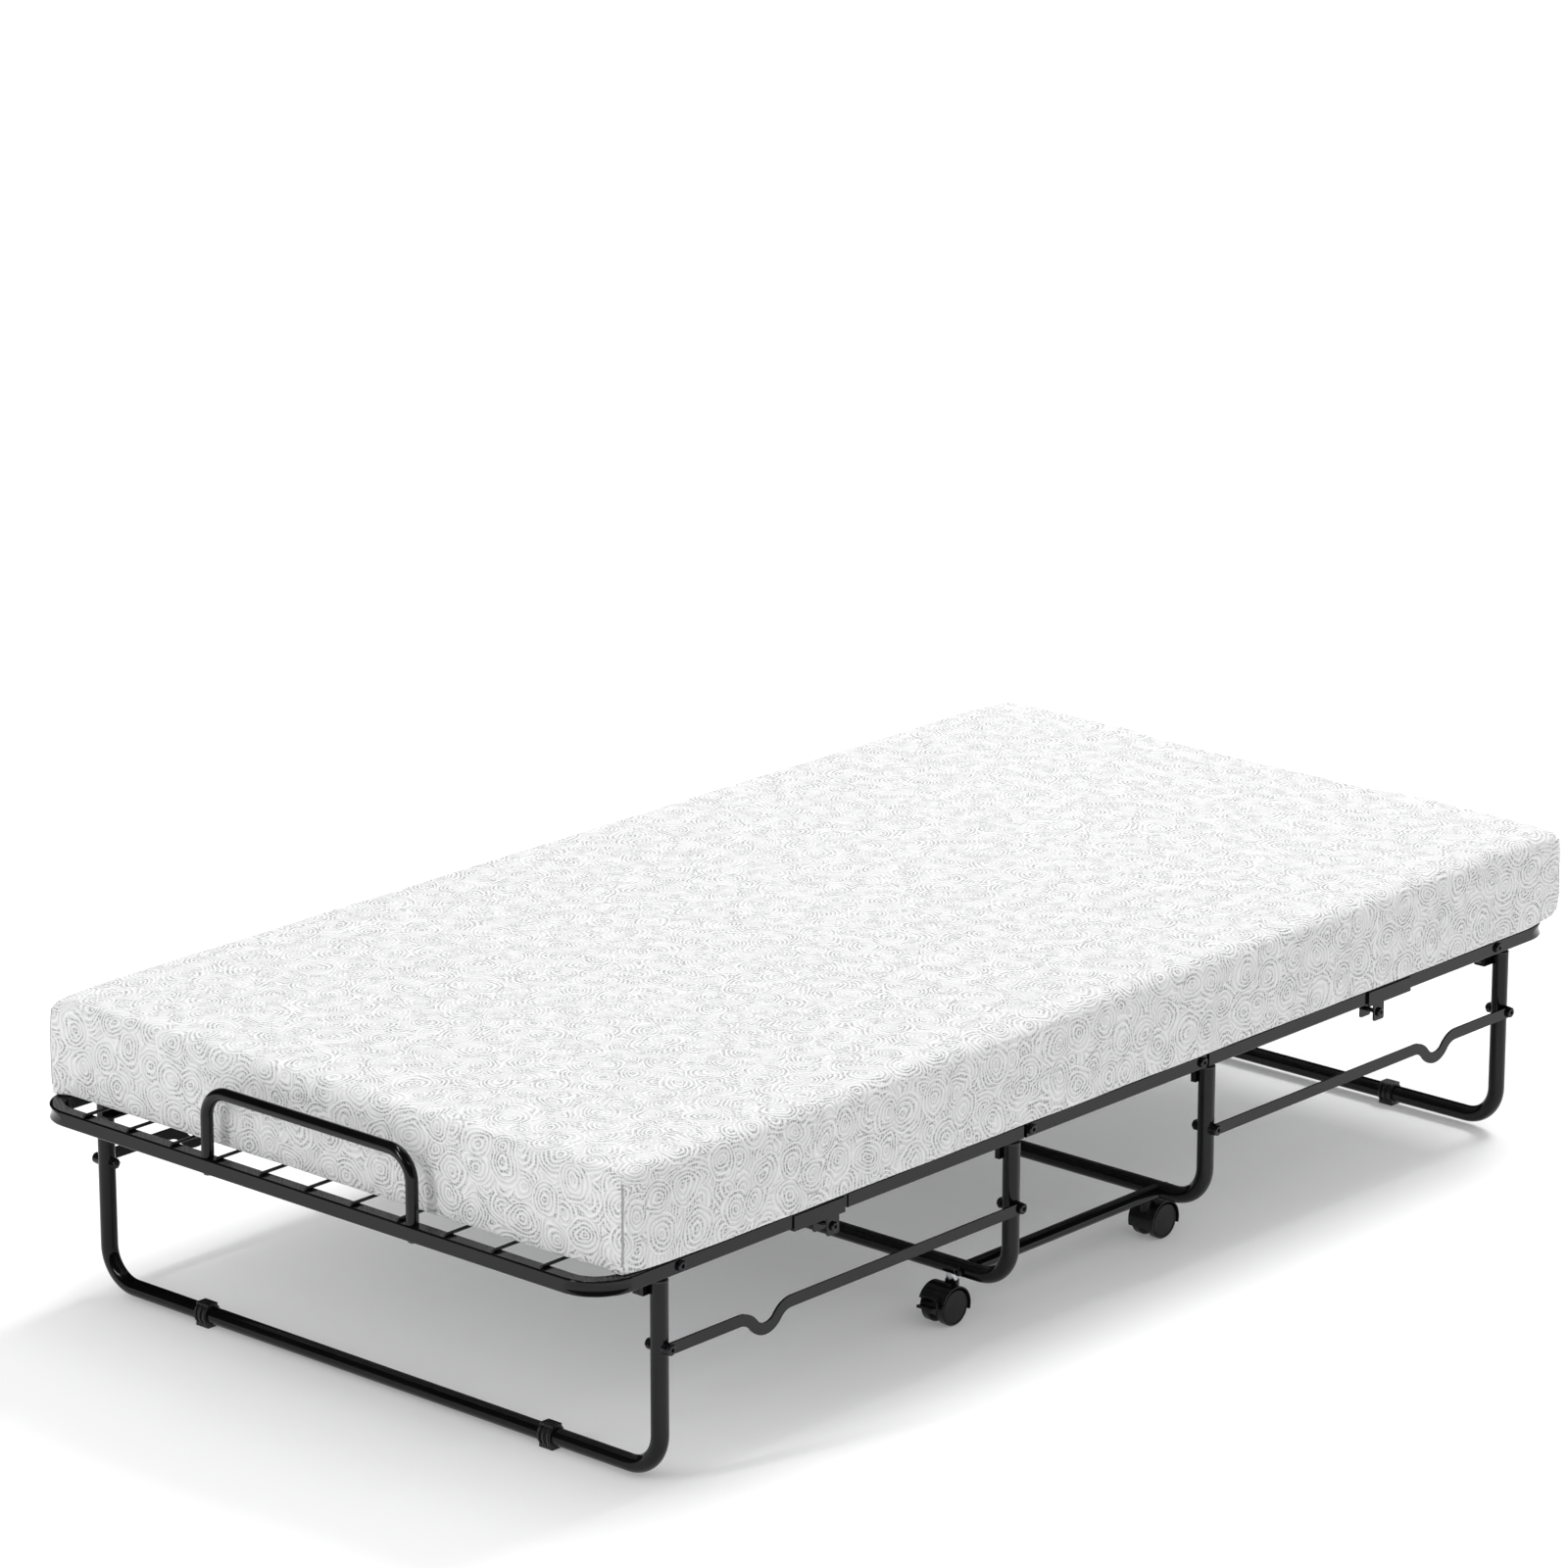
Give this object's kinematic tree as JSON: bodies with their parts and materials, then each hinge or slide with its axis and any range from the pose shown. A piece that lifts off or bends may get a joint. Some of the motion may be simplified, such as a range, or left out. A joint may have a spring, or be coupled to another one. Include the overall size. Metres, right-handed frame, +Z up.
{
  "type": "rollaway bed",
  "caption": "Folding rollaway bed: a foam mattress on a black steel wire deck that folds at the middle, with linked end legs, handle loops, a latch and swivel casters.",
  "frame": {"origin": "floor level under the middle of the bed's bounding box", "axes": "+X from the foot end to the head end along the bed's length, +Y across the bed, +Z up from the floor to the sleeping surface"},
  "size_m": [1.9214, 1.002, 0.4128],
  "materials": {
    "frame_paint": "satin black powder coat",
    "hardware": "black zinc",
    "caster_collar": "bright",
    "caster_wheel": "satin",
    "caster_body": "satin",
    "tube_plastic": "matt",
    "latch_plastic": "matt",
    "mattress_cover": "white knitted cover with a quilted relief"
  },
  "bodies": {
    "frame": {"centre_side_rails": "frame_paint", "centre_crossbars": "frame_paint", "centre_wires": "frame_paint", "foot_wheel_leg": "frame_paint", "head_wheel_leg": "frame_paint", "stretchers": "frame_paint", "wheel_leg_brackets": "frame_paint", "wheel_leg_caps": "tube_plastic", "fold_pivot_bolts": "hardware", "wheel_leg_link_bolts": "hardware", "stretcher_bolts": "hardware", "caster_sockets": "caster_collar", "mattress_centre": "mattress_cover"},
    "foot_deck": {"foot_end_frame": "frame_paint", "foot_mid_rails": "frame_paint", "foot_crossbars": "frame_paint", "foot_end_wires": "frame_paint", "foot_mid_wires": "frame_paint", "foot_splice_channels": "frame_paint", "foot_hinge_plates": "frame_paint", "foot_handle_loop": "frame_paint", "foot_frame_bolts": "hardware", "foot_leg_pivot_bolts": "hardware", "foot_mattress": "mattress_cover"},
    "foot_end_leg": {"foot_leg": "frame_paint", "foot_leg_brackets": "frame_paint", "foot_leg_caps": "tube_plastic", "foot_leg_pads": "tube_plastic", "foot_leg_link_bolts": "hardware"},
    "foot_link_pair": {"foot_links": "frame_paint"},
    "head_deck": {"head_end_frame": "frame_paint", "head_mid_rails": "frame_paint", "head_crossbars": "frame_paint", "head_end_wires": "frame_paint", "head_mid_wires": "frame_paint", "head_splice_channels": "frame_paint", "head_hinge_plates": "frame_paint", "head_handle_loop": "frame_paint", "head_frame_bolts": "hardware", "head_leg_pivot_bolts": "hardware", "head_mattress": "mattress_cover"},
    "head_end_leg": {"head_leg": "frame_paint", "head_leg_brackets": "frame_paint", "head_leg_caps": "tube_plastic", "head_leg_pads": "tube_plastic", "head_leg_link_bolts": "hardware"},
    "head_link_pair": {"head_links": "frame_paint"},
    "latch_hook": {"latch": "latch_plastic"},
    "caster_foot_near": {"hood_foot_near": "caster_body"},
    "wheel_pair_foot_near": {"wheels_foot_near": "caster_wheel"},
    "caster_foot_far": {"hood_foot_far": "caster_body"},
    "wheel_pair_foot_far": {"wheels_foot_far": "caster_wheel"},
    "caster_head_near": {"hood_head_near": "caster_body"},
    "wheel_pair_head_near": {"wheels_head_near": "caster_wheel"},
    "caster_head_far": {"hood_head_far": "caster_body"},
    "wheel_pair_head_far": {"wheels_head_far": "caster_wheel"},
    "brake_near": {"brake_lever_near": "caster_body"},
    "brake_far": {"brake_lever_far": "caster_body"}
  },
  "joints": [
    {"name": "foot_deck_fold", "type": "hinge", "parent": "frame", "child": "foot_deck", "pos_m": [-0.17917, 0, 0.273], "axis": [0, 1, 0], "range_deg": [0, 90], "deforming": ["mattress_centre"]},
    {"name": "foot_leg_swing", "type": "hinge", "parent": "foot_deck", "child": "foot_end_leg", "pos_m": [-0.82117, 0, 0.273], "axis": [0, 1, 0], "range_deg": [-90, 0]},
    {"name": "foot_link_swing", "type": "hinge", "parent": "frame", "child": "foot_link_pair", "pos_m": [-0.20367, 0, 0.176], "axis": [0, 1, 0], "range_deg": [0, 90]},
    {"name": "head_deck_fold", "type": "hinge", "parent": "frame", "child": "head_deck", "pos_m": [0.16283, 0, 0.273], "axis": [0, -1, 0], "range_deg": [0, 90], "deforming": ["mattress_centre"]},
    {"name": "head_leg_swing", "type": "hinge", "parent": "head_deck", "child": "head_end_leg", "pos_m": [0.80483, 0, 0.273], "axis": [0, -1, 0], "range_deg": [-90, 0]},
    {"name": "head_link_swing", "type": "hinge", "parent": "frame", "child": "head_link_pair", "pos_m": [0.18733, 0, 0.176], "axis": [0, -1, 0], "range_deg": [0, 90]},
    {"name": "latch_swing", "type": "hinge", "parent": "head_deck", "child": "latch_hook", "pos_m": [0.93433, 0, 0.3705], "axis": [0, -1, 0], "range_deg": [0, 172]},
    {"name": "foot_near_swivel", "type": "hinge", "parent": "frame", "child": "caster_foot_near", "pos_m": [-0.20367, -0.3845, 0.05], "axis": [0, 0, 1], "continuous": true},
    {"name": "foot_near_roll", "type": "hinge", "parent": "caster_foot_near", "child": "wheel_pair_foot_near", "pos_m": [-0.21867, -0.3845, 0.0245], "axis": [0, 1, 0], "continuous": true},
    {"name": "foot_far_swivel", "type": "hinge", "parent": "frame", "child": "caster_foot_far", "pos_m": [-0.20367, 0.3845, 0.05], "axis": [0, 0, 1], "continuous": true},
    {"name": "foot_far_roll", "type": "hinge", "parent": "caster_foot_far", "child": "wheel_pair_foot_far", "pos_m": [-0.21867, 0.3845, 0.0245], "axis": [0, 1, 0], "continuous": true},
    {"name": "head_near_swivel", "type": "hinge", "parent": "frame", "child": "caster_head_near", "pos_m": [0.18733, -0.3845, 0.05], "axis": [0, 0, 1], "continuous": true},
    {"name": "head_near_roll", "type": "hinge", "parent": "caster_head_near", "child": "wheel_pair_head_near", "pos_m": [0.20233, -0.3845, 0.0245], "axis": [0, 1, 0], "continuous": true},
    {"name": "head_far_swivel", "type": "hinge", "parent": "frame", "child": "caster_head_far", "pos_m": [0.18733, 0.3845, 0.05], "axis": [0, 0, 1], "continuous": true},
    {"name": "head_far_roll", "type": "hinge", "parent": "caster_head_far", "child": "wheel_pair_head_far", "pos_m": [0.20233, 0.3845, 0.0245], "axis": [0, 1, 0], "continuous": true},
    {"name": "near_brake_press", "type": "hinge", "parent": "caster_foot_near", "child": "brake_near", "pos_m": [-0.24555, -0.3845, 0.0413], "axis": [0, -1, 0], "range_deg": [0, 6]},
    {"name": "far_brake_press", "type": "hinge", "parent": "caster_foot_far", "child": "brake_far", "pos_m": [-0.24555, 0.3845, 0.0413], "axis": [0, -1, 0], "range_deg": [0, 6]}
  ],
  "couplings": [
    {"joint": "foot_leg_swing", "follows": "foot_deck_fold", "ratio": -1},
    {"joint": "foot_link_swing", "follows": "foot_deck_fold", "ratio": 1},
    {"joint": "head_leg_swing", "follows": "head_deck_fold", "ratio": -1},
    {"joint": "head_link_swing", "follows": "head_deck_fold", "ratio": 1}
  ]
}
